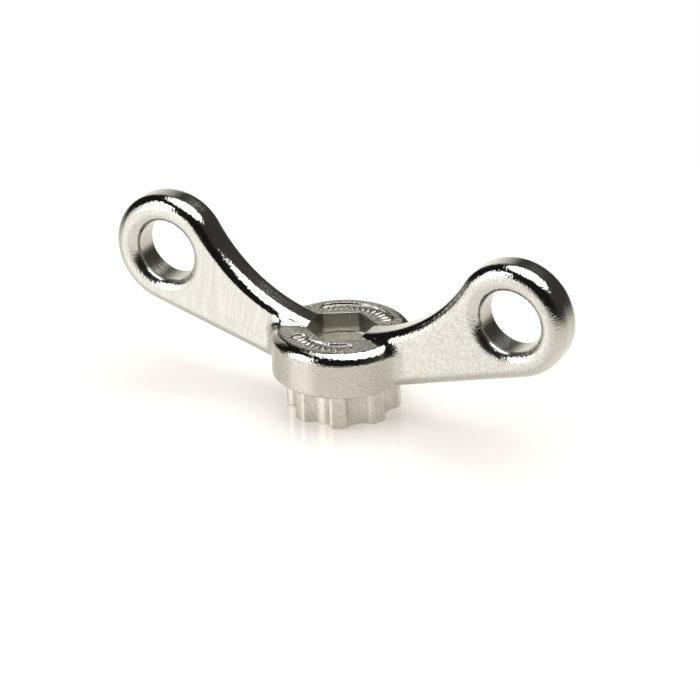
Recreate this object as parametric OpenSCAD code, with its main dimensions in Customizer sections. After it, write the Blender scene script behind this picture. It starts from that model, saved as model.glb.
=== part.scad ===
// Wing tool for the splined end caps of hollow cranks: a round hub with a hexagon socket,
// two upswept wings that end in eyes, and a hollow lobed nose seated in the hub from below.
// The nose stands on z = 0, its axis is the z axis, and the wings lie along x.

/* [Hub] */
// Outside diameter of the hub
hub_d = 18.7; // [18.2:0.1:20]
// Height of the hub
hub_h = 6; // [5.8:0.1:6.6]
// Radius of the rounded rim on top of the hub
rim_r = 1.55; // [1.2:0.05:1.7]
// Radius of the hub's lower edge
heel_r = 0.4; // [0.2:0.05:0.6]

/* [Socket] */
// Hexagon key that the socket takes, across the flats
key_af = 8; // [7.5:0.5:8]
// Play of the key between two opposite flats
key_play = 0.06; // [0.02:0.02:0.14]
// Height of the socket's flats at their middle
socket_depth = 2.25; // [1.8:0.05:2.4]

/* [Wings] */
// Distance of an eye's axis from the hub's axis
eye_x = 25.4; // [24.4:0.1:28]
// Height of an eye's axis above the top of the hub
eye_rise = 6.6; // [6:0.1:7.4]
// Outside diameter of an eye
eye_d = 15.56; // [15:0.04:16.6]
// Bore of an eye
eye_bore_d = 8.4; // [8:0.1:8.6]
// Thickness of a wing
wing_t = 5.2; // [4.8:0.1:5.8]
// Radius of the rounded edges of a wing
edge_r = 1.8; // [1.4:0.1:1.9]
// Radius of the hollow curve on top of a wing
dip_r = 21.8; // [20.8:0.1:23]
// Slope of the straight lower edge of a wing, in degrees
rise_angle = 15.8; // [15:0.1:17]
// Width of the rounded mouth of an eye's bore
mouth_w = 1.6; // [1.3:0.05:1.65]
// Depth of the rounded mouth of an eye's bore
mouth_h = 1.13; // [0.8:0.01:1.25]

/* [Panels] */
// Inner radius of the two sunken panels on top of the hub
panel_in = 5.2; // [5.1:0.05:5.4]
// Outer radius of the two sunken panels
panel_out = 7.2; // [6.9:0.05:7.3]
// Depth of the sunken panels
panel_depth = 0.3; // [0.2:0.05:0.5]
// Half of the angle over which the panel at the back runs
panel_back = 54; // [46:1:56]
// Half of the angle over which the panel at the front runs
panel_front = 43; // [38:1:56]

/* [Nose] */
// Number of lobes on the nose
lobes = 8; // [6:1:8]
// Diameter over the tips of the lobes
tip_d = 15; // [14.8:0.05:15.2]
// Diameter at the bottom of the hollows between the lobes
root_d = 12.75; // [12.5:0.05:13]
// Radius of the hollows between the lobes
hollow_r = 2.43; // [2.3:0.01:2.55]
// Radius of the corners at the tips of the lobes
corner_r = 0.7; // [0.5:0.05:0.85]
// Height of the lobes below the hub
nose_h = 5.35; // [4.8:0.05:6.4]
// Bevel around the lower end of the lobes
nose_bevel = 0.3; // [0.2:0.05:0.5]
// Bore through the nose
nose_bore_d = 9.5; // [9.4:0.05:9.7]

/* [Seat] */
// Diameter of the seat bored into the hub for the nose
seat_d = 11.6; // [11.4:0.05:11.9]
// Play between the nose's neck and the seat, on the diameter
seat_play = 0.04; // [0.02:0.01:0.08]

/* [Hidden] */
$fn = 96;

// How far a cut runs past the surface in which it opens
over = 1;

hub_r = hub_d / 2;
hub_low = nose_h;
hub_top = hub_low + hub_h;

socket_af = key_af + key_play;
cone_low = hub_top - socket_depth - (nose_bore_d - socket_af) / 2;

eye_r = eye_d / 2;
eye_z = hub_top + eye_rise;
bore_r = eye_bore_d / 2;
land_t = wing_t - 2 * edge_r;
// Arc through the mouth of a bore, left standing a little proud so that it meets the face at an angle
mouth_r = (mouth_w * mouth_w + mouth_h * mouth_h) / (2 * mouth_h);
mouth_proud = 0.03;
// Round ends of the sunken panels, a little wider than the panels so that they cross the walls
panel_end = 1.06;

// Distance from the hub's axis at which a wing begins, inside the hole of the socket
root_x = 2;
// The rim of the eye stands a little proud of the edges that run into it, so that it crosses them at an
// angle, and laps into them by this angle at both of its ends
rim_proud = 0.02;
rim_lap = 9;
touch_r = eye_r - rim_proud;
// The hollow curve touches the level of the hub's top and, from outside, the circle inside the eye's rim
dip_z = hub_top + dip_r;
dip_x = eye_x - sqrt(pow(dip_r + touch_r, 2) - pow(dip_z - eye_z, 2));
dip_end = atan2(eye_z - dip_z, eye_x - dip_x);
dip_start = asin((root_x - dip_x) / dip_r) - 90;
// The straight lower edge touches the same circle at this point
low_x = eye_x + touch_r * sin(rise_angle);
low_z = eye_z - touch_r * cos(rise_angle);
low_run = (low_x - root_x) / cos(rise_angle);
// The rim of the eye runs from the lower edge round to the hollow curve
eye_from = rise_angle - 90;
eye_to = dip_end + 180;
// Depth of the rounded strips along a wing's edges, and how far the middle of the wing laps over them
strip_w = 4;
strip_lap = 3;
// Angles, from the two ends of the eye's rim, at which the middle of the wing has its corners
mid_near = 15;
mid_far = 50;

tip_r = tip_d / 2;
hollow_x = root_d / 2 + hollow_r;
pitch = 360 / lobes;
// Centre of the round corner between a hollow and the tip of a lobe
corner_x = (pow(tip_r - corner_r, 2) + pow(hollow_x, 2) - pow(hollow_r + corner_r, 2)) / (2 * hollow_x);
corner_y = sqrt(pow(tip_r - corner_r, 2) - pow(corner_x, 2));
corner_to_tip = atan2(corner_y, corner_x);
corner_to_hollow = atan2(-corner_y, hollow_x - corner_x);
// The circle of a corner is left a little larger, so that it crosses both arcs at an angle
corner_proud = 0.005;
neck_d = seat_d - seat_play;

function polar(r, a) = [r * cos(a), r * sin(a)];

// Section of a wing at a rounded edge: the edge is at x = 0 and the wing on the negative side
module edge_section(depth) {
    translate([-depth, -wing_t / 2])
        square([depth - edge_r, wing_t]);
    translate([-depth, -land_t / 2])
        square([depth, land_t]);
    for (side = [-1, 1])
        translate([-edge_r, side * land_t / 2])
            intersection() {
                circle(r = edge_r);
                translate([-edge_r / 2, -edge_r])
                    square([2 * edge_r, 2 * edge_r]);
            }
}

// Outer part of the eye, turned about the eye's axis
module eye_turn() {
    translate([eye_x, 0, eye_z])
        rotate([90, 0, 0])
            rotate_extrude(angle = eye_to - eye_from + 2 * rim_lap, start = eye_from - rim_lap)
                translate([eye_r, 0])
                    edge_section(eye_r - bore_r + over);
}

// Strip along the hollow top edge, turned about the middle of that curve
module dip_strip() {
    translate([dip_x, 0, dip_z])
        rotate([90, 0, 0])
            rotate_extrude(angle = dip_end - dip_start, start = dip_start)
                translate([dip_r, 0])
                    mirror([1, 0])
                        edge_section(strip_w);
}

// Strip along the straight lower edge
module low_strip() {
    translate([low_x, 0, low_z])
        rotate([0, -rise_angle, 0])
            rotate([0, -90, 0])
                linear_extrude(height = low_run)
                    mirror([1, 0])
                        edge_section(strip_w);
}

// Flat middle of the wing between the strips and the eye
module wing_middle() {
    steps = 8;
    dip_mid = [for (i = [0 : steps])
        [dip_x, dip_z] + polar(dip_r + strip_lap, dip_start + (dip_end - dip_start) * i / steps)];
    eye_mid = [for (a = [eye_to - mid_near, eye_to - mid_far, eye_from + mid_far, eye_from + mid_near])
        [eye_x, eye_z] + polar(eye_r - strip_lap, a)];
    low_mid = [for (run = [0, low_run])
        [low_x - strip_lap * sin(rise_angle), low_z + strip_lap * cos(rise_angle)]
        - polar(run, rise_angle)];
    rotate([90, 0, 0])
        translate([0, 0, -wing_t / 2])
            linear_extrude(height = wing_t)
                polygon(concat(dip_mid, eye_mid, low_mid));
}

// One wing, cut level with the underside of the hub
module wing() {
    intersection() {
        union() {
            eye_turn();
            dip_strip();
            low_strip();
            wing_middle();
        }
        translate([0, -wing_t, hub_low])
            cube([2 * eye_x, 2 * wing_t, 4 * eye_d]);
    }
}

// Round body of the hub with its rounded rim and lower edge
module hub_body() {
    rotate_extrude() {
        translate([0, hub_low])
            square([hub_r - heel_r, heel_r]);
        translate([0, hub_low + heel_r])
            square([hub_r, hub_h - heel_r - rim_r]);
        translate([0, hub_top - rim_r])
            square([hub_r - rim_r, rim_r]);
        intersection() {
            translate([hub_r - heel_r, hub_low + heel_r])
                circle(r = heel_r);
            translate([0, hub_low])
                square([hub_r, 1.5 * heel_r]);
        }
        intersection() {
            translate([hub_r - rim_r, hub_top - rim_r])
                circle(r = rim_r);
            translate([hub_r - 1.5 * rim_r, hub_top - 1.5 * rim_r])
                square([1.5 * rim_r, 1.5 * rim_r]);
        }
    }
}

// Hexagon socket with flats towards the wings, opening below into a cone and the seat of the nose
module socket_cut() {
    rotate([0, 0, 30])
        translate([0, 0, cone_low - over])
            cylinder(d = socket_af / cos(30), h = hub_top - cone_low + 2 * over, $fn = 6);
    translate([0, 0, cone_low])
        cylinder(d1 = nose_bore_d, d2 = socket_af - 2 * over, h = (nose_bore_d - socket_af) / 2 + over);
    translate([0, 0, hub_low - over])
        cylinder(d = seat_d, h = cone_low - hub_low + over);
}

// Bore of an eye with a rounded mouth on both sides
module eye_cut() {
    translate([eye_x, 0, eye_z])
        rotate([90, 0, 0])
            rotate_extrude() {
                translate([0, -wing_t])
                    square([bore_r, 2 * wing_t]);
                for (side = [0, 1])
                    mirror([0, side])
                        difference() {
                            translate([0, wing_t / 2 - mouth_h])
                                square([bore_r + mouth_w, mouth_h + over]);
                            translate([bore_r + mouth_w, wing_t / 2 - mouth_r + mouth_proud])
                                circle(r = mouth_r);
                        }
            }
}

// Sunken panel with round ends on top of the hub, about the direction of +y
module panel_cut(half) {
    mid = (panel_in + panel_out) / 2;
    end_r = (panel_out - panel_in) / 2;
    reach = half - asin(end_r / mid);
    fan = [for (a = [-reach, 0, reach]) polar(3 * hub_r, 90 + a)];
    translate([0, 0, hub_top - panel_depth])
        linear_extrude(height = panel_depth + over)
            intersection() {
                difference() {
                    circle(r = panel_out);
                    circle(r = panel_in);
                }
                union() {
                    polygon(concat([[0, 0]], fan));
                    for (side = [-1, 1])
                        translate(polar(mid, 90 + side * reach))
                            circle(r = panel_end * end_r);
                }
            }
}

// Outline of the nose: a disc with one round hollow between each two lobes, the lobes' corners rounded
module lobe_outline() {
    difference() {
        circle(r = tip_r);
        for (i = [0 : lobes - 1])
            rotate(i * pitch) {
                translate([hollow_x, 0])
                    circle(r = hollow_r);
                for (side = [0, 1])
                    mirror([0, side])
                        translate([corner_x, corner_y])
                            difference() {
                                polygon([
                                    [0, 0],
                                    polar(1.6 * corner_r, corner_to_hollow),
                                    polar(3 * corner_r, (corner_to_hollow + corner_to_tip) / 2),
                                    polar(1.6 * corner_r, corner_to_tip)
                                ]);
                                circle(r = corner_r + corner_proud);
                            }
            }
    }
}

// Handle: hub and both wings in one piece
module wing_handle() {
    color("gainsboro")
        difference() {
            union() {
                hub_body();
                wing();
                mirror([1, 0, 0])
                    wing();
            }
            socket_cut();
            eye_cut();
            mirror([1, 0, 0])
                eye_cut();
            panel_cut(panel_back);
            mirror([0, 1, 0])
                panel_cut(panel_front);
        }
}

// Nose: lobes below the hub and a plain neck in the hub's seat, bored through
module splined_nose() {
    color("darkgray")
        difference() {
            union() {
                linear_extrude(height = nose_h)
                    lobe_outline();
                cylinder(d = neck_d, h = cone_low - seat_play);
            }
            translate([0, 0, -over])
                cylinder(d = nose_bore_d, h = hub_top);
            rotate_extrude()
                polygon([
                    [tip_r - 2 * nose_bevel, -nose_bevel],
                    [tip_r + over, -nose_bevel],
                    [tip_r + over, nose_bevel + over]
                ]);
        }
}

wing_handle();
splined_nose();
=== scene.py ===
import math

import bpy
import numpy as np
from mathutils import Matrix, Vector


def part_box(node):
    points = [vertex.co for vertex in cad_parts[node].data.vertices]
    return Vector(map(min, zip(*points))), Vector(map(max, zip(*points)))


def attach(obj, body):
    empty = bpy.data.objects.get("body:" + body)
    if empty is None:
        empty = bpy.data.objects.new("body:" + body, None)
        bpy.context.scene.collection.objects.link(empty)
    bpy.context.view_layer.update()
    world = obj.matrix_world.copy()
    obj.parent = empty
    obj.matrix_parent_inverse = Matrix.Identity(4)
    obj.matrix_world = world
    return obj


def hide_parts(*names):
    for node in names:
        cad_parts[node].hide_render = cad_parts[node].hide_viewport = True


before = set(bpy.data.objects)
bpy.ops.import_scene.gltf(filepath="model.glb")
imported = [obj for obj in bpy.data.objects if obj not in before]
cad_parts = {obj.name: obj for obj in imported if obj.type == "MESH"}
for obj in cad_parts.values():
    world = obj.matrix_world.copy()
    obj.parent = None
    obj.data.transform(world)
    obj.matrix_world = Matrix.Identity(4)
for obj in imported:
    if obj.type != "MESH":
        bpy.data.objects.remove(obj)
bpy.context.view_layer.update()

# Sizes are in millimetres, as in the solids, and the scene is in metres
MM = 0.001

# Sizes of the wings and their eyes
EYE_R = 7.78
BORE_R = 4.2
MOUTH_W = 1.6
MOUTH_H = 1.13
WING_T = 5.2
EDGE_R = 1.8
DIP_R = 21.8
RISE = math.radians(15.8)

# Sizes of the hub, its socket and its two sunken panels
RIM_R = 1.55
HEEL_R = 0.4
HUB_H = 6.0
SOCKET_AF = 8.06
HEX_TURN = math.radians(60)
SOCKET_DEPTH = 2.25
PANEL_IN = 5.2
PANEL_OUT = 7.2
PANEL_DEPTH = 0.3
PANEL_BACK = math.radians(54)
PANEL_FRONT = math.radians(43)

# Sizes of the nose and its seat in the hub
LOBES = 8
TIP_R = 7.5
ROOT_R = 6.375
HOLLOW_R = 2.43
CORNER_R = 0.7
NOSE_BORE_R = 4.75
SEAT_R = 5.8
SEAT_PLAY = 0.02

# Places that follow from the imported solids
handle_low, handle_high = (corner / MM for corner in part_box("wing_handle"))
HUB_LOW = handle_low.z
HUB_TOP = HUB_LOW + HUB_H
HUB_R = handle_high.y
EYE_X = handle_high.x - EYE_R
EYE_Z = handle_high.z - EYE_R
FLATS_LOW = HUB_TOP - SOCKET_DEPTH
CONE_LOW = FLATS_LOW - (NOSE_BORE_R - SOCKET_AF / 2)
MOUTH_R = (MOUTH_W ** 2 + MOUTH_H ** 2) / (2 * MOUTH_H)
PANEL_MID = (PANEL_IN + PANEL_OUT) / 2
PANEL_HALF = (PANEL_OUT - PANEL_IN) / 2
PANEL_LOW = HUB_TOP - PANEL_DEPTH

# The hollow top curve of a wing touches the hub's top and the eye; the lower edge touches the eye
DIP_Z = HUB_TOP + DIP_R
DIP_X = EYE_X - math.sqrt((DIP_R + EYE_R) ** 2 - (DIP_Z - EYE_Z) ** 2)
DIP_END = math.atan2(EYE_Z - DIP_Z, EYE_X - DIP_X)
LOW_X = EYE_X + EYE_R * math.sin(RISE)
LOW_Z = EYE_Z - EYE_R * math.cos(RISE)

# Round corners between the hollows and the tips of the nose's lobes
HOLLOW_X = ROOT_R + HOLLOW_R
CORNER_X = ((TIP_R - CORNER_R) ** 2 + HOLLOW_X ** 2 - (HOLLOW_R + CORNER_R) ** 2) / (2 * HOLLOW_X)
CORNER_Y = math.sqrt((TIP_R - CORNER_R) ** 2 - CORNER_X ** 2)

# Fillets between wings and hub, which grow with the distance from the axis and above the wing's lower edge
FILLET_IN = 0.3
FILLET_OUT = 1.5
FILLET_REACH = (6.0, 9.0)
FILLET_RISE = (0.4, 2.2)

# Softened edges
SOCKET_EDGE = 0.14
PANEL_EDGE = 0.1
NOSE_EDGE = 0.28

# The left wing's front face was ground on a belt, between its eye and the hub and above its lower edge
GROUND_DEPTH = 0.14
GROUND_CLEAR = 0.1
GROUND_EDGE = 0.04
GROUND_FROM_EYE = (24.0, 17.0)
GROUND_TO_HUB = (6.5, 9.0)
GROUND_RISE = (1.0, 4.0)

# Fineness of the two meshes
HANDLE_STEP = 0.2
NOSE_STEP = 0.15

# Margins of the grid in steps; the odd one keeps its planes off the flat faces
GRID_MARGIN = 1.37
GRID_SPARE = 3

# How the points and normals of the meshes are found
HALVINGS = 12
SLOPE_REACH = 0.002
TINY = 1e-9
CELL_HOLD = 0.03
NORMAL_INSET = 0.35
CELLS_ROUND_EDGE = ((-1, -1), (0, -1), (0, 0), (-1, 0))


def ramp(value, none, full):
    """Eased step from 0 at the first number to 1 at the second."""
    t = np.clip((value - none) / (full - none), 0, 1)
    return t * t * (3 - 2 * t)


def between(first, second, share):
    """Number that lies the given share of the way from one number to another."""
    return first + (second - first) * share


def from_axis(p):
    """Distance of a point from the axis of the hub."""
    return np.hypot(p[:, 0], p[:, 1])


def from_eye(p):
    """Distance of a point from the axis of the nearer eye."""
    return np.hypot(np.abs(p[:, 0]) - EYE_X, p[:, 2] - EYE_Z)


def common(a, b, r):
    """Common part of two forms, the edge between them rounded by r."""
    u = a + r
    v = b + r
    return np.minimum(np.maximum(u, v), 0) + np.hypot(np.maximum(u, 0), np.maximum(v, 0)) - r


def joined(a, b, r):
    """Two forms together, with a hollow fillet of r where they meet."""
    return np.maximum(r, np.minimum(a, b)) - np.hypot(np.maximum(r - a, 0), np.maximum(r - b, 0))


def wing_outline(p):
    """Distance of a point from the outline of the wings, seen from the front."""
    x = np.abs(p[:, 0])
    z = p[:, 2]
    eye = from_eye(p) - EYE_R
    dip = DIP_R - np.hypot(x - DIP_X, z - DIP_Z)
    low = (x - LOW_X) * math.sin(RISE) - (z - LOW_Z) * math.cos(RISE)
    before_dip_end = math.cos(DIP_END) * (z - DIP_Z) < math.sin(DIP_END) * (x - DIP_X)
    before_eye = (x - EYE_X) * math.cos(RISE) + (z - EYE_Z) * math.sin(RISE) < 0
    return np.where(before_dip_end & before_eye, np.maximum(dip, low), eye)


def above_low(p):
    """Height of a point above the straight lower edge of its wing."""
    return (p[:, 2] - LOW_Z) * math.cos(RISE) - (np.abs(p[:, 0]) - LOW_X) * math.sin(RISE)


def ground(p):
    """Positive in front of the plane to which the left wing's front face is ground."""
    left = -p[:, 0]
    share = ramp(left, *GROUND_FROM_EYE) * ramp(left, *GROUND_TO_HUB) * ramp(above_low(p), *GROUND_RISE)
    depth = between(-GROUND_CLEAR, GROUND_DEPTH, share)
    return np.where(left > 0, -p[:, 1] - WING_T / 2 + depth, -WING_T)


def wings(p):
    """Both wings with rounded edges."""
    cast = common(wing_outline(p), np.abs(p[:, 1]) - WING_T / 2, EDGE_R)
    return common(cast, ground(p), GROUND_EDGE)


def hub(p):
    """Round hub with its rounded rim and lower edge."""
    side = from_axis(p) - HUB_R
    upper = common(side, p[:, 2] - HUB_TOP, RIM_R)
    lower = common(side, HUB_LOW - p[:, 2], HEEL_R)
    return np.maximum(upper, lower)


def outside_eyes(p):
    """Positive inside the bores of the eyes and their rounded mouths."""
    r = from_eye(p)
    u = r - (BORE_R + MOUTH_W)
    v = np.abs(p[:, 1]) - (WING_T / 2 - MOUTH_R)
    mouth = np.where((u < 0) & (v > 0), np.hypot(u, v) - MOUTH_R, -EYE_R)
    return np.maximum(BORE_R - r, mouth)


def socket(p):
    """Hexagon with flats towards the wings, the cone of 45 degrees below it and the seat of the nose."""
    x = np.abs(p[:, 0])
    y = np.abs(p[:, 1])
    z = p[:, 2]
    r = from_axis(p)
    hexagon = np.maximum(x, math.cos(HEX_TURN) * x + math.sin(HEX_TURN) * y) - SOCKET_AF / 2
    cone = np.where(z > CONE_LOW, (r - NOSE_BORE_R + z - CONE_LOW) / math.sqrt(2), r - NOSE_BORE_R)
    seat = np.maximum(r - SEAT_R, z - CONE_LOW)
    return np.minimum(np.minimum(hexagon, cone), seat)


def panel_reach(half):
    """Angle from the middle of a panel to the centre of its round end."""
    return half - math.asin(PANEL_HALF / PANEL_MID)


def panels(p):
    """The two sunken panels with round ends on top of the hub."""
    x = np.abs(p[:, 0])
    y = np.abs(p[:, 1])
    reach = np.where(p[:, 1] > 0, panel_reach(PANEL_BACK), panel_reach(PANEL_FRONT))
    end = np.hypot(x - PANEL_MID * np.sin(reach), y - PANEL_MID * np.cos(reach))
    along = np.abs(from_axis(p) - PANEL_MID)
    outline = np.where(np.arctan2(x, y) < reach, along, end) - PANEL_HALF
    return common(outline, PANEL_LOW - p[:, 2], PANEL_EDGE)


def handle(p):
    """Hub and wings in one casting, with fillets that grow towards the hub's side and shrink downwards."""
    grown = ramp(from_axis(p), *FILLET_REACH) * ramp(above_low(p), *FILLET_RISE)
    fillet = between(FILLET_IN, FILLET_OUT, grown)
    body = np.maximum(joined(wings(p), hub(p), fillet), HUB_LOW - p[:, 2])
    body = np.maximum(body, outside_eyes(p))
    body = common(body, -panels(p), PANEL_EDGE)
    return common(body, -socket(p), SOCKET_EDGE)


def lobe_outline(p):
    """Disc with round hollows between its lobes, seen from below."""
    r = from_axis(p)
    pitch = 2 * math.pi / LOBES
    turn = np.abs((np.arctan2(p[:, 1], p[:, 0]) + pitch / 2) % pitch - pitch / 2)
    x = r * np.cos(turn)
    y = r * np.sin(turn)
    outline = np.maximum(r - TIP_R, HOLLOW_R - np.hypot(x - HOLLOW_X, y))
    u = x - CORNER_X
    v = y - CORNER_Y
    at_corner = (CORNER_X * v < CORNER_Y * u) & ((HOLLOW_X - CORNER_X) * v + CORNER_Y * u > 0)
    return np.where(at_corner, np.hypot(u, v) - CORNER_R, outline)


def nose(p):
    """Lobed nose with its plain neck in the hub, bored through."""
    z = p[:, 2]
    r = from_axis(p)
    lobed = np.maximum(common(lobe_outline(p), -z, NOSE_EDGE), z - HUB_LOW)
    neck = np.maximum(r - SEAT_R + SEAT_PLAY, np.maximum(z - CONE_LOW + 2 * SEAT_PLAY, -z))
    return common(np.minimum(lobed, neck), NOSE_BORE_R - r, NOSE_EDGE / 2)


def slope(field, p):
    """Direction in which a field grows fastest, as unit vectors."""
    rise = np.empty_like(p)
    for axis in range(3):
        step = np.zeros(3)
        step[axis] = SLOPE_REACH
        rise[:, axis] = field(p + step) - field(p - step)
    return rise / np.maximum(np.linalg.norm(rise, axis=1, keepdims=True), TINY)


def field_on_grid(field, low, counts, step):
    """Values of a field at the points of a grid, one layer after the other."""
    values = np.empty(counts)
    rows = low[1] + step * np.arange(counts[1])
    heights = low[2] + step * np.arange(counts[2])
    y, z = np.meshgrid(rows, heights, indexing="ij")
    for i in range(counts[0]):
        x = np.full(y.size, low[0] + step * i)
        values[i] = field(np.stack([x, y.ravel(), z.ravel()], axis=1)).reshape(y.shape)
    return values


def crossings(field, values, low, step, axis):
    """Grid edges along an axis that the surface crosses: place, point on the surface, and which way out."""
    near = [slice(None)] * 3
    far = [slice(None)] * 3
    near[axis] = slice(0, -1)
    far[axis] = slice(1, None)
    start = values[tuple(near)]
    end = values[tuple(far)]
    places = np.argwhere((start < 0) != (end < 0))
    leaves = start[tuple(places.T)] < 0
    lower = np.zeros(len(places))
    upper = np.ones(len(places))
    points = low + step * places
    base = points[:, axis].copy()
    for _ in range(HALVINGS):
        middle = (lower + upper) / 2
        points[:, axis] = base + step * middle
        same = (field(points) < 0) == leaves
        lower = np.where(same, middle, lower)
        upper = np.where(same, upper, middle)
    return places, points, leaves


def surface(field, low, high, step):
    """Quads of the surface where a field is zero, with points that sit on edges and corners too."""
    low = np.asarray(low) - GRID_MARGIN * step
    counts = np.ceil((np.asarray(high) - low) / step).astype(int) + GRID_SPARE
    values = field_on_grid(field, low, counts, step)
    rings = []
    quads = []
    points = []
    for axis in range(3):
        places, found, leaves = crossings(field, values, low, step, axis)
        ring = []
        for du, dv in CELLS_ROUND_EDGE:
            cell = places.copy()
            cell[:, (axis + 1) % 3] += du
            cell[:, (axis + 2) % 3] += dv
            ring.append(np.ravel_multi_index(tuple(cell.T), counts))
        ring = np.stack(ring, axis=1)
        rings.append(ring.ravel())
        quads.append(np.where(leaves[:, None], ring, ring[:, ::-1]))
        points.append(found)
    points = np.concatenate(points)
    normals = slope(field, points)
    cells, numbers = np.unique(np.concatenate(rings), return_inverse=True)
    repeats = len(CELLS_ROUND_EDGE)
    met = np.repeat(points, repeats, axis=0)
    outward = np.repeat(normals, repeats, axis=0)
    corner = low + step * np.stack(np.unravel_index(cells, counts), axis=1)
    vertices = np.clip(cell_points(numbers.ravel(), met, outward), corner, corner + step)
    return vertices, np.searchsorted(cells, np.concatenate(quads))


def cell_points(numbers, points, normals):
    """One point per numbered cell that lies as near as it can to all planes met on the cell's edges."""
    share = np.bincount(numbers)
    middle = np.stack([np.bincount(numbers, points[:, k]) for k in range(3)], axis=1) / share[:, None]
    offset = ((points - middle[numbers]) * normals).sum(axis=1)
    matrix = np.empty((len(share), 3, 3))
    target = np.empty((len(share), 3))
    for i in range(3):
        target[:, i] = np.bincount(numbers, normals[:, i] * offset)
        for k in range(3):
            matrix[:, i, k] = np.bincount(numbers, normals[:, i] * normals[:, k])
    matrix += CELL_HOLD * np.eye(3)
    return middle + np.linalg.solve(matrix, target[:, :, None])[:, :, 0]


def add_mesh(name, vertices, faces):
    """New mesh object in the scene, in metres."""
    mesh = bpy.data.meshes.new(name)
    mesh.from_pydata(vertices, [], faces)
    made = bpy.data.objects.new(name, mesh)
    bpy.context.scene.collection.objects.link(made)
    return made


def build_piece(name, vertices, quads, field):
    """Mesh object whose normals follow the field, sharp where the form is sharp."""
    piece = add_mesh(name, (vertices * MM).tolist(), quads.tolist())
    corners = vertices[quads]
    inner = between(corners, corners.mean(axis=1, keepdims=True), NORMAL_INSET)
    piece.data.shade_smooth()
    piece.data.normals_split_custom_set(slope(field, inner.reshape(-1, 3)).tolist())
    return piece


def add_attribute(piece, name, values):
    """Number per vertex that the materials read."""
    layer = piece.data.attributes.new(name, "FLOAT", "POINT")
    layer.data.foreach_set("value", np.asarray(values, dtype=np.float32))


# Soft borders of the finishes in millimetres, each from where a finish begins to where it is full
LAND_HALF = WING_T / 2 - EDGE_R
BRIGHT_DEPTH = (EDGE_R - 0.05, EDGE_R - 0.75)
BRIGHT_ASIDE = (LAND_HALF - 0.2, LAND_HALF + 0.7)
UNGROUND = (0.0, 0.06)
RIM_REACH = (HUB_R - RIM_R + 0.1, HUB_R - RIM_R + 0.5)
RIM_HEIGHT = (HUB_TOP - RIM_R - 0.1, HUB_TOP - RIM_R + 0.25)
HUB_NEAR = HUB_R + 0.5
WING_EDGE_TAKES_OVER = (-0.15, 0.15)
WING_TAKES_OVER = (0.1, 0.9)
HUB_TAKES_OVER = (0.0, 0.1)
PAST_HUB = (HUB_R + 0.1, HUB_R + 0.9)
MOUTH_BEGINS = (BORE_R, BORE_R + 0.2)
IN_MOUTH = (BORE_R + MOUTH_W, BORE_R + MOUTH_W - 0.6)
IN_EYE = (BORE_R + 0.8, BORE_R + 0.3)
IN_BORE = (BORE_R + 0.4, BORE_R + 0.1)
LAND_DEPTH = (0.6, 0.3)
LAND_CLEAR = (0.1, 0.4)
TOP_HEIGHT = (PANEL_LOW - 0.15, PANEL_LOW - 0.05)
TOP_REACH = (HUB_R - RIM_R + 0.3, HUB_R - RIM_R - 0.1)
SATIN_ASIDE = (WING_T / 2 - 0.6, WING_T / 2 - 0.1)
# Where the painted light on the wing faces begins
PAINTED_LIGHT_ASIDE = (WING_T / 2 - MOUTH_H, WING_T / 2 - MOUTH_H + 0.5)
IN_SOCKET = (0.2, 0.05)
IN_CONE = (FLATS_LOW + 0.2, FLATS_LOW)

# How bright, grained and rough the places of the casting are, and the light and shade painted on them
LAND_POLISH = 0.5
MOUTH_POLISH = 0.5
WING_GRAIN = 0.32
HUB_GRAIN = 0.34
EDGE_GRAIN = 0.28
LAND_GRAIN = 0.15
TOP_GRAIN = 0.65
MOUTH_GRAIN = 0.3
BORE_GRAIN = 0.14
BAR_GRAIN = 0.3
HUB_SATIN = 0.2
WING_SATIN = 0.26
EYE_SATIN = 0.21
SOCKET_SATIN = 0.3
BAR_SATIN = 0.19
# Painted light and shade as factors on the colour: paler wing faces and cone as if lit, darker socket walls
# as shade; 1 on the hub paints none
HUB_PAINTED_LIGHT = 1.0
WING_PAINTED_LIGHT = 1.17
SOCKET_PAINTED_SHADE = 0.7
CONE_PAINTED_LIGHT = 1.32


def polish_of_handle(p):
    """1 on the rounded edges, which are bright, and 0 on the satin faces."""
    aside = np.abs(p[:, 1])
    r = from_axis(p)
    eye = from_eye(p)
    edge = ramp(-wing_outline(p), *BRIGHT_DEPTH) * between(LAND_POLISH, 1, ramp(aside, *BRIGHT_ASIDE))
    edge = edge * ramp(-ground(p), *UNGROUND)
    rim = ramp(r, *RIM_REACH) * ramp(p[:, 2], *RIM_HEIGHT)
    on_wing = ramp(hub(p) - wings(p), *WING_EDGE_TAKES_OVER)
    mouth = MOUTH_POLISH * ramp(eye, *MOUTH_BEGINS) * ramp(eye, *IN_MOUTH)
    return np.maximum(np.where(r < HUB_NEAR, between(rim, edge, on_wing), edge), mouth)


def grain_of_handle(p):
    """How strong the cast grain is: strongest on top of the hub, weak on the wings' edges and in holes."""
    eye = from_eye(p)
    on_hub = ramp(wings(p) - hub(p), *HUB_TAKES_OVER)
    on_top = ramp(p[:, 2], *TOP_HEIGHT) * ramp(from_axis(p), *TOP_REACH)
    on_land = ramp(-wing_outline(p), *LAND_DEPTH) * ramp(hub(p), *LAND_CLEAR)
    on_land = on_land * (1 - ramp(np.abs(p[:, 1]), *BRIGHT_ASIDE))
    grain = between(WING_GRAIN, HUB_GRAIN, on_hub)
    grain = between(grain, EDGE_GRAIN, polish_of_handle(p))
    grain = between(grain, LAND_GRAIN, on_land)
    grain = between(grain, TOP_GRAIN, on_top * on_hub)
    grain = between(grain, MOUTH_GRAIN, ramp(eye, *IN_MOUTH))
    grain = between(grain, BORE_GRAIN, ramp(eye, *IN_BORE))
    return grain * (1 - ramp(socket(p), *IN_SOCKET))


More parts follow.
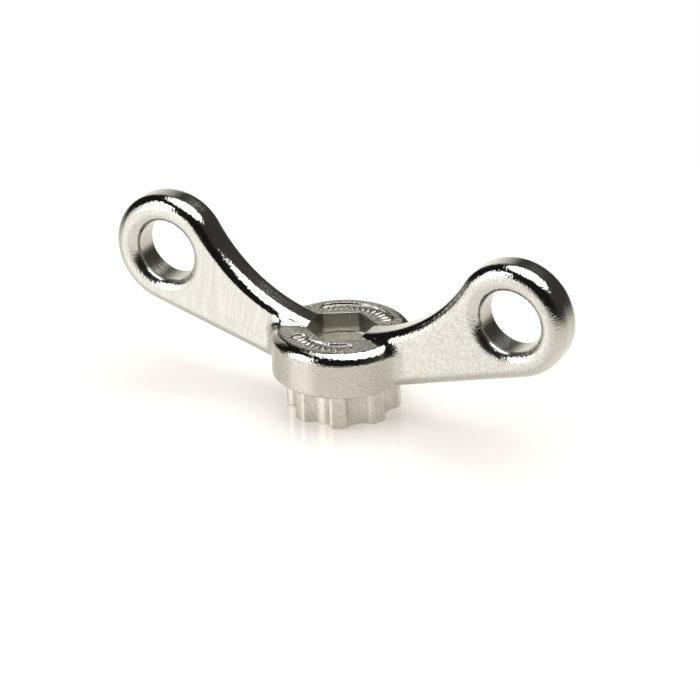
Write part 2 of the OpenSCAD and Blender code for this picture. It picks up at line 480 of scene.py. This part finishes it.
def satin_of_handle(p):
    """Roughness of the satin faces: coarser on the wings and inside the socket than on the hub."""
    on_face = ramp(hub(p) - wings(p), *WING_TAKES_OVER) * ramp(np.abs(p[:, 1]), *SATIN_ASIDE)
    satin = between(HUB_SATIN, WING_SATIN, on_face)
    satin = between(satin, EYE_SATIN, ramp(from_eye(p), *IN_EYE))
    return between(satin, SOCKET_SATIN, ramp(socket(p), *IN_SOCKET))


def painted_light_of_handle(p):
    """Painted light and shade on the metal: wing faces and the socket's cone painted paler as if lit, the
    socket's walls painted darker as shade.
    """
    on_face = ramp(from_axis(p), *PAST_HUB) * ramp(np.abs(p[:, 1]), *PAINTED_LIGHT_ASIDE)
    on_face = on_face * np.sqrt(1 - polish_of_handle(p))
    # Painted shade on the socket's walls and painted light on its cone
    in_socket = ramp(socket(p), *IN_SOCKET)
    inside = between(SOCKET_PAINTED_SHADE, CONE_PAINTED_LIGHT, ramp(p[:, 2], *IN_CONE))
    return between(between(HUB_PAINTED_LIGHT, WING_PAINTED_LIGHT, on_face), inside, in_socket)


def make_handle():
    """Casting of hub and wings."""
    low = [-EYE_X - EYE_R, -HUB_R, HUB_LOW]
    high = [EYE_X + EYE_R, HUB_R, EYE_Z + EYE_R]
    vertices, quads = surface(handle, low, high, HANDLE_STEP)
    piece = build_piece("handle_casting", vertices, quads, handle)
    add_attribute(piece, "polish", polish_of_handle(vertices))
    add_attribute(piece, "grain", grain_of_handle(vertices))
    add_attribute(piece, "satin", satin_of_handle(vertices))
    # Painted light and shade, carried to the material
    add_attribute(piece, "painted_light", painted_light_of_handle(vertices))
    return piece


def make_nose():
    """Lobed nose below the hub."""
    low = [-TIP_R, -TIP_R, 0]
    high = [TIP_R, TIP_R, CONE_LOW]
    vertices, quads = surface(nose, low, high, NOSE_STEP)
    return build_piece("nose_ring", vertices, quads, nose)


# Plain raised bars in the sunken panels
BAR_LENGTH = 1.25
BAR_R = 0.22
BAR_RISE = 0.25
BAR_PITCH = math.radians(7.4)
BAR_TURNS = 8
BAR_SINK = 0.05


def bar_ring(x, share):
    """Half-round section of a bar at x, at a share of its full radius and height."""
    overs = [math.pi * k / (2 * BAR_TURNS) for k in range(2 * BAR_TURNS + 1)]
    return [(x, BAR_R * share * math.cos(over), BAR_RISE * share * math.sin(over)) for over in overs]


def bar_rings():
    """Bar with round ends along x, as sections from one end to the other."""
    half = BAR_LENGTH / 2 - BAR_R
    turns = [(i + 0.5) / BAR_TURNS * math.pi / 2 for i in range(BAR_TURNS)]
    near = [bar_ring(-half - BAR_R * math.sin(turn), math.cos(turn)) for turn in reversed(turns)]
    far = [bar_ring(half + BAR_R * math.sin(turn), math.cos(turn)) for turn in turns]
    return near + far


def bar_faces(first, rows, across):
    """Faces of one bar whose points start at a number: its back, its flat underside and its two ends."""
    faces = []
    for row in range(rows - 1):
        start = first + row * across
        faces += [(a, a + 1, a + across + 1, a + across) for a in range(start, start + across - 1)]
        faces.append((start, start + across, start + 2 * across - 1, start + across - 1))
    last = first + (rows - 1) * across
    faces.append(tuple(reversed(range(first, first + across))))
    faces.append(tuple(range(last, last + across)))
    return faces


def make_bars():
    """All bars of both panels as one piece."""
    rings = bar_rings()
    foot = Vector((PANEL_MID, 0, PANEL_LOW - BAR_SINK))
    vertices = []
    faces = []
    for half, middle in ((PANEL_BACK, math.pi / 2), (PANEL_FRONT, -math.pi / 2)):
        steps = int(panel_reach(half) / BAR_PITCH)
        for i in range(-steps, steps + 1):
            turn = Matrix.Rotation(middle + i * BAR_PITCH, 3, "Z")
            faces += bar_faces(len(vertices), len(rings), len(rings[0]))
            for ring in rings:
                vertices += [MM * (turn @ (foot + Vector(point))) for point in ring]
    piece = add_mesh("panel_bars", vertices, faces)
    piece.data.shade_smooth()
    add_attribute(piece, "polish", np.ones(len(vertices)))
    add_attribute(piece, "grain", np.full(len(vertices), BAR_GRAIN))
    add_attribute(piece, "satin", np.full(len(vertices), BAR_SATIN))
    add_attribute(piece, "painted_light", np.full(len(vertices), HUB_PAINTED_LIGHT))
    return piece


class Nodes:
    """Short way to write a node tree."""

    def __init__(self, tree):
        """Starts with an empty tree."""
        self.tree = tree
        tree.nodes.clear()

    def add(self, kind, settings=None, **inputs):
        """New node with its settings and inputs. An underscore in the name of an input stands for a space."""
        node = self.tree.nodes.new(kind)
        for name, value in (settings or {}).items():
            setattr(node, name, value)
        for name, value in inputs.items():
            self.put(node, name.replace("_", " "), value)
        return node

    def put(self, node, key, value):
        """Links an output to an input, or sets the input's own value."""
        entry = node.inputs[key]
        if isinstance(value, bpy.types.NodeSocket):
            self.tree.links.new(value, entry)
        else:
            entry.default_value = value

    def place(self):
        """Point in the object's own frame, in metres."""
        return self.add("ShaderNodeTexCoord").outputs["Object"]

    def attribute(self, name):
        """Number that the mesh keeps per vertex."""
        return self.add("ShaderNodeAttribute", {"attribute_name": name}).outputs["Fac"]

    def math(self, operation, a, b=0.0):
        """Result of an operation on one or two numbers."""
        node = self.add("ShaderNodeMath", {"operation": operation})
        self.put(node, 0, a)
        self.put(node, 1, b)
        return node.outputs[0]

    def length(self, vector):
        """Length of a vector."""
        node = self.add("ShaderNodeVectorMath", {"operation": "LENGTH"})
        self.put(node, 0, vector)
        return node.outputs["Value"]

    def product(self, a, b):
        """Two vectors or colours multiplied part by part."""
        node = self.add("ShaderNodeVectorMath", {"operation": "MULTIPLY"})
        self.put(node, 0, a)
        self.put(node, 1, b)
        return node.outputs[0]

    def scaled(self, vector, factor):
        """Vector or colour times a number."""
        node = self.add("ShaderNodeVectorMath", {"operation": "SCALE"}, Scale=factor)
        self.put(node, 0, vector)
        return node.outputs[0]

    def blend(self, share, first, second):
        """Number between two numbers, which are inputs 2 and 3 of the node."""
        node = self.add("ShaderNodeMix", {"data_type": "FLOAT"})
        for key, value in ((0, share), (2, first), (3, second)):
            self.put(node, key, value)
        return node.outputs[0]

    def tone(self, share, first, second):
        """Colour between two colours, which are inputs 6 and 7 of the node."""
        node = self.add("ShaderNodeMix", {"data_type": "RGBA"})
        for key, value in ((0, share), (6, first), (7, second)):
            self.put(node, key, value)
        return node.outputs[2]

    def span(self, value, low, high, to_low=0.0, to_high=1.0):
        """Value mapped from one range to another, held at the ends."""
        node = self.add("ShaderNodeMapRange", {"clamp": True}, Value=value, From_Min=low, From_Max=high,
                        To_Min=to_low, To_Max=to_high)
        return node.outputs[0]

    def noise(self, vector, scale, detail, roughness=0.5):
        """Cloudy numbers around one half."""
        node = self.add("ShaderNodeTexNoise", None, Vector=vector, Scale=scale, Detail=detail,
                        Roughness=roughness)
        return node.outputs[0]

    def swing(self, noise, size):
        """Noise moved to swing around zero, times a number."""
        return self.math("MULTIPLY", self.math("SUBTRACT", noise, NOISE_MIDDLE), size)

    def metal(self, colour, rough, height, relief):
        """Bare metal with a relief, given by its height and by the metres that one unit of it stands for."""
        bump = self.add("ShaderNodeBump", None, Strength=1.0, Distance=relief, Height=height)
        return self.add("ShaderNodeBsdfPrincipled", None, Metallic=1.0, Base_Color=colour, Roughness=rough,
                        Normal=bump.outputs[0])

    def seen(self):
        """1 for rays from the camera, from mirrors and through glass, 0 for the rest."""
        path = self.add("ShaderNodeLightPath").outputs
        direct = self.math("MAXIMUM", path["Is Camera Ray"], path["Is Glossy Ray"])
        return self.math("MAXIMUM", direct, path["Is Transmission Ray"])

    def close(self, shader, kind="ShaderNodeOutputMaterial"):
        """Ends the tree with its output."""
        self.add(kind, None, Surface=shader.outputs[0])


# Noises that both metals share: scale per metre, octaves, and roughness where it isn't one half
NOISE_MIDDLE = 0.5
GRAIN_SCALE = 4200
GRAIN_DETAIL = 0
SPECKLE_SCALE = 3300
SPECKLE_DETAIL = 1
SPECKLE_RANGE = (0.25, 0.75)
MOTTLE_DETAIL = 3
MOTTLE_ROUGHNESS = 0.6
MOTTLE_RANGE = (0.3, 0.7)
WHITE = (1.0, 1.0, 1.0, 1)

# Plate: colours, the tones of hub and wings that go with the painted light on the wing faces, roughness and
# grain
PLATE_DARK = (0.47, 0.465, 0.438, 1)
PLATE_LIGHT = (0.57, 0.563, 0.534, 1)
HUB_TONE = (1.0, 0.982, 0.945, 1)
WING_TONE = (1.0, 0.997, 1.0, 1)
WING_PAINTED_LIGHT_RANGE = (HUB_PAINTED_LIGHT, 1.16)
WING_SPECKLE_RANGE = (0.34, 0.66)
PLATE_MOTTLE_SCALE = 260
SATIN_SWING = (-0.025, 0.025)
BRIGHT_ROUGHNESS = (0.07, 0.11)
PEEL_SCALE = 1800
PEEL_SHARE = 0.3
PLATE_RELIEF = 0.0001

# Brushed streaks on both faces of the left wing, a little out of plumb; lengths in metres
STREAK_LEAN = -0.18
STREAK_STRETCH = 0.04
STREAK_SCALE = 4600
STREAK_DETAIL = 1
STREAK_RANGE = (0.14, 0.86)
STREAK_LEFT = (-0.0097, -0.0115)
STREAK_ASIDE = ((WING_T / 2 - 1.0) * MM, (WING_T / 2 - 0.3) * MM)
STREAK_SHARE = 0.6
PITS_BRUSHED = 0.8

# Steel of the nose: colours, painted light that makes the bore paler and cooler, roughness, and highlights
# drawn out along its axis
STEEL_DARK = (0.625, 0.608, 0.545, 1)
STEEL_LIGHT = (0.775, 0.753, 0.685, 1)
PAINTED_BORE_LIGHT = (1.07, 1.10, 1.13, 1)
PAINTED_BORE_REACH = ((NOSE_BORE_R + 0.15) * MM, (NOSE_BORE_R + 0.05) * MM)
STEEL_MOTTLE_SCALE = 300
STEEL_ROUGHNESS = (0.25, 0.31)
STEEL_RELIEF = 0.00003
STEEL_DRAWN_OUT = 0.9
QUARTER_TURN = 0.25


def material(name):
    """New material with an empty node tree."""
    made = bpy.data.materials.new(name)
    made.use_nodes = True
    return made, Nodes(made.node_tree)


def brushed_share(n, place):
    """1 on the faces of the left wing, 0 elsewhere."""
    split = n.add("ShaderNodeSeparateXYZ", None, Vector=place).outputs
    on_left = n.span(split["X"], *STREAK_LEFT)
    on_face = n.span(n.math("ABSOLUTE", split["Y"]), *STREAK_ASIDE)
    return n.math("MULTIPLY", on_left, on_face)


def streak_noise(n, place):
    """Noise stretched into streaks that stand almost upright."""
    leaning = n.add("ShaderNodeMapping", None, Vector=place, Rotation=(0, STREAK_LEAN, 0)).outputs[0]
    stretched = n.add("ShaderNodeMapping", None, Vector=leaning, Scale=(1, 1, STREAK_STRETCH)).outputs[0]
    return n.noise(stretched, STREAK_SCALE, STREAK_DETAIL)


def plated_casting():
    """Nickel-chrome plate over a blasted casting: satin faces with grain, bright rounded edges, and painted
    light and shade from the mesh's numbers.
    """
    made, n = material("plated_casting")
    place = n.place()
    brushed = brushed_share(n, place)
    streaks = streak_noise(n, place)
    painted_light = n.attribute("painted_light")
    wing_light_share = n.span(painted_light, *WING_PAINTED_LIGHT_RANGE)

    specks = n.noise(place, SPECKLE_SCALE, SPECKLE_DETAIL)
    specks = n.blend(brushed, specks, n.span(streaks, 0.0, 1.0, *STREAK_RANGE))
    darkest, lightest = (n.blend(wing_light_share, *ends) for ends in zip(SPECKLE_RANGE, WING_SPECKLE_RANGE))
    colour = n.tone(n.span(specks, darkest, lightest), PLATE_DARK, PLATE_LIGHT)
    # Hub and wing faces take their own tones, switched by the painted wing light
    colour = n.product(colour, n.tone(wing_light_share, HUB_TONE, WING_TONE))

    mottle = n.noise(place, PLATE_MOTTLE_SCALE, MOTTLE_DETAIL, MOTTLE_ROUGHNESS)
    satin = n.math("ADD", n.attribute("satin"), n.span(mottle, *MOTTLE_RANGE, *SATIN_SWING))
    rough = n.blend(n.attribute("polish"), satin, n.span(mottle, *MOTTLE_RANGE, *BRIGHT_ROUGHNESS))

    grain = n.swing(n.noise(place, GRAIN_SCALE, GRAIN_DETAIL), 1.0)
    peel = n.swing(n.noise(place, PEEL_SCALE, GRAIN_DETAIL), PEEL_SHARE)
    pits = n.math("MULTIPLY", n.math("ADD", grain, peel), n.blend(brushed, 1.0, PITS_BRUSHED))
    lines = n.math("MULTIPLY", n.swing(streaks, STREAK_SHARE), brushed)
    height = n.math("MULTIPLY", n.math("ADD", pits, lines), n.attribute("grain"))

    # The colour is multiplied by the painted light and shade
    n.close(n.metal(n.scaled(colour, painted_light), rough, height, PLATE_RELIEF))
    return made


def satin_steel():
    """Satin nose with a fine blasted grain, whose highlights are drawn out along its axis, and painted light
    in its bore.
    """
    made, n = material("satin_steel")
    place = n.place()
    specks = n.noise(place, SPECKLE_SCALE, SPECKLE_DETAIL)
    colour = n.tone(n.span(specks, *SPECKLE_RANGE), STEEL_DARK, STEEL_LIGHT)
    out = n.length(n.product(place, (1, 1, 0)))
    # Painted light: the bore is painted paler and cooler than the outside
    colour = n.product(colour, n.tone(n.span(out, *PAINTED_BORE_REACH), WHITE, PAINTED_BORE_LIGHT))
    mottle = n.noise(place, STEEL_MOTTLE_SCALE, MOTTLE_DETAIL, MOTTLE_ROUGHNESS)
    rough = n.span(mottle, *MOTTLE_RANGE, *STEEL_ROUGHNESS)
    shader = n.metal(colour, rough, n.noise(place, GRAIN_SCALE, GRAIN_DETAIL), STEEL_RELIEF)
    n.put(shader, "Anisotropic", STEEL_DRAWN_OUT)
    n.put(shader, "Anisotropic Rotation", QUARTER_TURN)
    around = n.add("ShaderNodeTangent", {"direction_type": "RADIAL", "axis": "Z"})
    n.put(shader, "Tangent", around.outputs[0])
    n.close(shader)
    return made


def dress(piece, node, finish):
    """Ties a piece to the frame and gives it its material."""
    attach(piece, "root")
    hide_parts(node)
    piece.data.materials.append(finish)


plate = plated_casting()
steel = satin_steel()
dress(make_handle(), "wing_handle", plate)
dress(make_bars(), "wing_handle", plate)
dress(make_nose(), "splined_nose", steel)

# Camera, found from the outlines in the photograph
IMAGE_SIZE = 700
AZIMUTH = math.radians(29.656)
ELEVATION = math.radians(26.424)
ROLL = math.radians(-1.922)
FOCAL_PX = 3393.5
DISTANCE = 0.44325
HUB_PX = (341.64, 326.26)
SENSOR = 36.0
CLIP_START = 0.01

UP = Vector((0, 0, 1))
level_back = Vector((math.sin(AZIMUTH), -math.cos(AZIMUTH), 0))
level_right = Vector((math.cos(AZIMUTH), math.sin(AZIMUTH), 0))


def make_camera():
    """Camera whose image has the middle of the hub's top at the photograph's pixel."""
    back = math.cos(ELEVATION) * level_back + math.sin(ELEVATION) * UP
    right = math.cos(ROLL) * level_right + math.sin(ROLL) * back.cross(level_right)
    up = back.cross(right)
    aside = (HUB_PX[0] - IMAGE_SIZE / 2) * DISTANCE / FOCAL_PX
    above = (IMAGE_SIZE / 2 - HUB_PX[1]) * DISTANCE / FOCAL_PX
    place = HUB_TOP * MM * UP - aside * right - above * up + DISTANCE * back
    data = bpy.data.cameras.new("camera")
    data.sensor_width = SENSOR
    data.lens = FOCAL_PX * SENSOR / IMAGE_SIZE
    data.clip_start = CLIP_START
    camera = bpy.data.objects.new("camera", data)
    camera.matrix_world = Matrix.Translation(place) @ Matrix((right, up, back)).transposed().to_4x4()
    bpy.context.scene.collection.objects.link(camera)
    bpy.context.scene.camera = camera


# Power of a lamp in watts per square metre of its face that gives a glow of 1
POWER_PER_GLOW = 4

# Lamps: bearings in degrees from the camera's own side, lengths in metres, glow as brightness of the face
SIDE_BEARING = -72
SIDE_AWAY = 0.35
SIDE_UP = 0.233
SIDE_SIZE = (0.25, 0.27)
SIDE_GLOW = 2.65
CARD_BEARING = -67.5
CARD_AWAY = 0.1
CARD_UP = 0.027
CARD_SIZE = (0.08, 0.034)
CARD_GLOW = 0.5
TOP_BEARING = 65
TOP_AWAY = 0.12
TOP_ASIDE = 0.105
TOP_UP = 0.45
TOP_SIZE = (0.65, 0.64)
TOP_GLOW = 2.55
TOP_TILT = 0.0001


def bearing(degrees):
    """Level direction at an angle from the camera's own side, to the camera's right."""
    angle = math.radians(degrees)
    return math.cos(angle) * level_back + math.sin(angle) * level_right


def make_lamp(name, shape, place, aim, size, glow):
    """Soft box of even brightness that faces along a direction, unseen by the camera."""
    data = bpy.data.lights.new(name, "AREA")
    data.shape = shape
    data.size, data.size_y = size
    area = size[0] * size[1]
    if shape == "ELLIPSE":
        area = area * math.pi / 4
    data.energy = POWER_PER_GLOW * glow * area
    lamp = bpy.data.objects.new(name, data)
    lamp.matrix_world = Matrix.Translation(place) @ aim.to_track_quat("-Z", "Y").to_matrix().to_4x4()
    lamp.visible_camera = False
    bpy.context.scene.collection.objects.link(lamp)


def make_lamps():
    """Soft box and a low card on the left, and a round box overhead, whose tiny tilt sets its turn."""
    side = SIDE_AWAY * bearing(SIDE_BEARING)
    make_lamp("side_box", "RECTANGLE", side + SIDE_UP * UP, -side, SIDE_SIZE, SIDE_GLOW)
    card = CARD_AWAY * bearing(CARD_BEARING)
    make_lamp("low_card", "RECTANGLE", card + CARD_UP * UP, -card, CARD_SIZE, CARD_GLOW)
    top = TOP_AWAY * bearing(TOP_BEARING) + TOP_ASIDE * bearing(TOP_BEARING + 90) + TOP_UP * UP
    make_lamp("top_box", "ELLIPSE", top, TOP_TILT * bearing(TOP_BEARING) - UP, TOP_SIZE, TOP_GLOW)


# Pale round table that fades out towards its rim, in metres
TABLE_R = 0.12
TABLE_FADES_FROM = 0.05
TABLE_STEPS = 96
TABLE_COLOUR = (0.64, 0.63, 0.62, 1)
TABLE_GLOW = (0.42, 0.395, 0.355, 1)
TABLE_ROUGHNESS = 0.12


def make_floor():
    """Table that fades out into the white background and keeps the shadow."""
    turns = [2 * math.pi * i / TABLE_STEPS for i in range(TABLE_STEPS)]
    rim = [(TABLE_R * math.cos(turn), TABLE_R * math.sin(turn), 0) for turn in turns]
    floor = add_mesh("floor", rim, [tuple(range(TABLE_STEPS))])
    made, n = material("floor")
    pale = n.add("ShaderNodeBsdfPrincipled", None, Base_Color=TABLE_COLOUR, Roughness=TABLE_ROUGHNESS,
                 Emission_Color=TABLE_GLOW, Emission_Strength=n.seen())
    clear = n.add("ShaderNodeBsdfTransparent")
    faded = n.add("ShaderNodeMixShader", None, Fac=n.span(n.length(n.place()), TABLE_FADES_FROM, TABLE_R))
    n.put(faded, 1, pale.outputs[0])
    n.put(faded, 2, clear.outputs[0])
    n.close(faded)
    floor.data.materials.append(made)


# Studio around the tool: a globe in metres, and its glow by bearing and height above the horizon in degrees
WALL_R = 0.8
WALL_STEPS_ROUND = 180
WALL_STEPS_UP = 72
WALL_COLOUR = (1, 0.98, 0.92, 1)
DARK_GLOW = 0.015
RIGHT_GLOW = 0.045
RIGHT_BEARING = 110
RIGHT_WIDTH = (90, 50)
FAR_FLOOR_GLOW = 0.95
FAR_FLOOR_HEIGHT = (7, -24)
BACK_GLOW = 1.2
BACK_BEARING = 186
BACK_WIDTH = (20, 3)
BACK_HEIGHT = (50, 2)
LEFT_GLOW = 1.4
LEFT_BEARING = 292
LEFT_WIDTH = (42, 20)
LEFT_HEIGHT = (18, 8)


def wall_glow(aside, height):
    """Brightness of the studio: dark walls, a pale far floor, a strip at the back and one low on the left."""
    dark = DARK_GLOW + RIGHT_GLOW * ramp(abs(aside - RIGHT_BEARING), *RIGHT_WIDTH)
    far_floor = FAR_FLOOR_GLOW * ramp(height, *FAR_FLOOR_HEIGHT)
    back = BACK_GLOW * ramp(abs(aside - BACK_BEARING), *BACK_WIDTH) * ramp(height, *BACK_HEIGHT)
    left = LEFT_GLOW * ramp(abs(aside - LEFT_BEARING), *LEFT_WIDTH) * ramp(height, *LEFT_HEIGHT)
    return max(dark, far_floor, back, left)


def make_walls():
    """Globe that the metal mirrors, unseen by the camera."""
    vertices = []
    faces = []
    glow = []
    for row in range(WALL_STEPS_UP + 1):
        height = 180 * row / WALL_STEPS_UP - 90
        up = math.radians(height)
        for i in range(WALL_STEPS_ROUND):
            aside = 360 * i / WALL_STEPS_ROUND
            vertices.append(WALL_R * (math.cos(up) * bearing(aside) + math.sin(up) * UP))
            glow.append(wall_glow(aside, height))
    for row in range(WALL_STEPS_UP):
        start = row * WALL_STEPS_ROUND
        for i in range(WALL_STEPS_ROUND):
            a = start + i
            b = start + (i + 1) % WALL_STEPS_ROUND
            faces.append((a, b, b + WALL_STEPS_ROUND, a + WALL_STEPS_ROUND))
    walls = add_mesh("walls", vertices, faces)
    add_attribute(walls, "glow", glow)
    made, n = material("walls")
    n.close(n.add("ShaderNodeEmission", None, Color=WALL_COLOUR, Strength=n.attribute("glow")))
    walls.data.materials.append(made)
    walls.visible_camera = False
    walls.visible_shadow = False


def make_world():
    """White background for camera and mirrors, which adds no diffuse light."""
    world = bpy.data.worlds.new("studio")
    world.use_nodes = True
    n = Nodes(world.node_tree)
    n.close(n.add("ShaderNodeBackground", None, Color=WHITE, Strength=n.seen()), "ShaderNodeOutputWorld")
    bpy.context.scene.world = world


make_camera()
make_lamps()
make_floor()
make_walls()
make_world()
bpy.context.scene.view_settings.view_transform = "Standard"
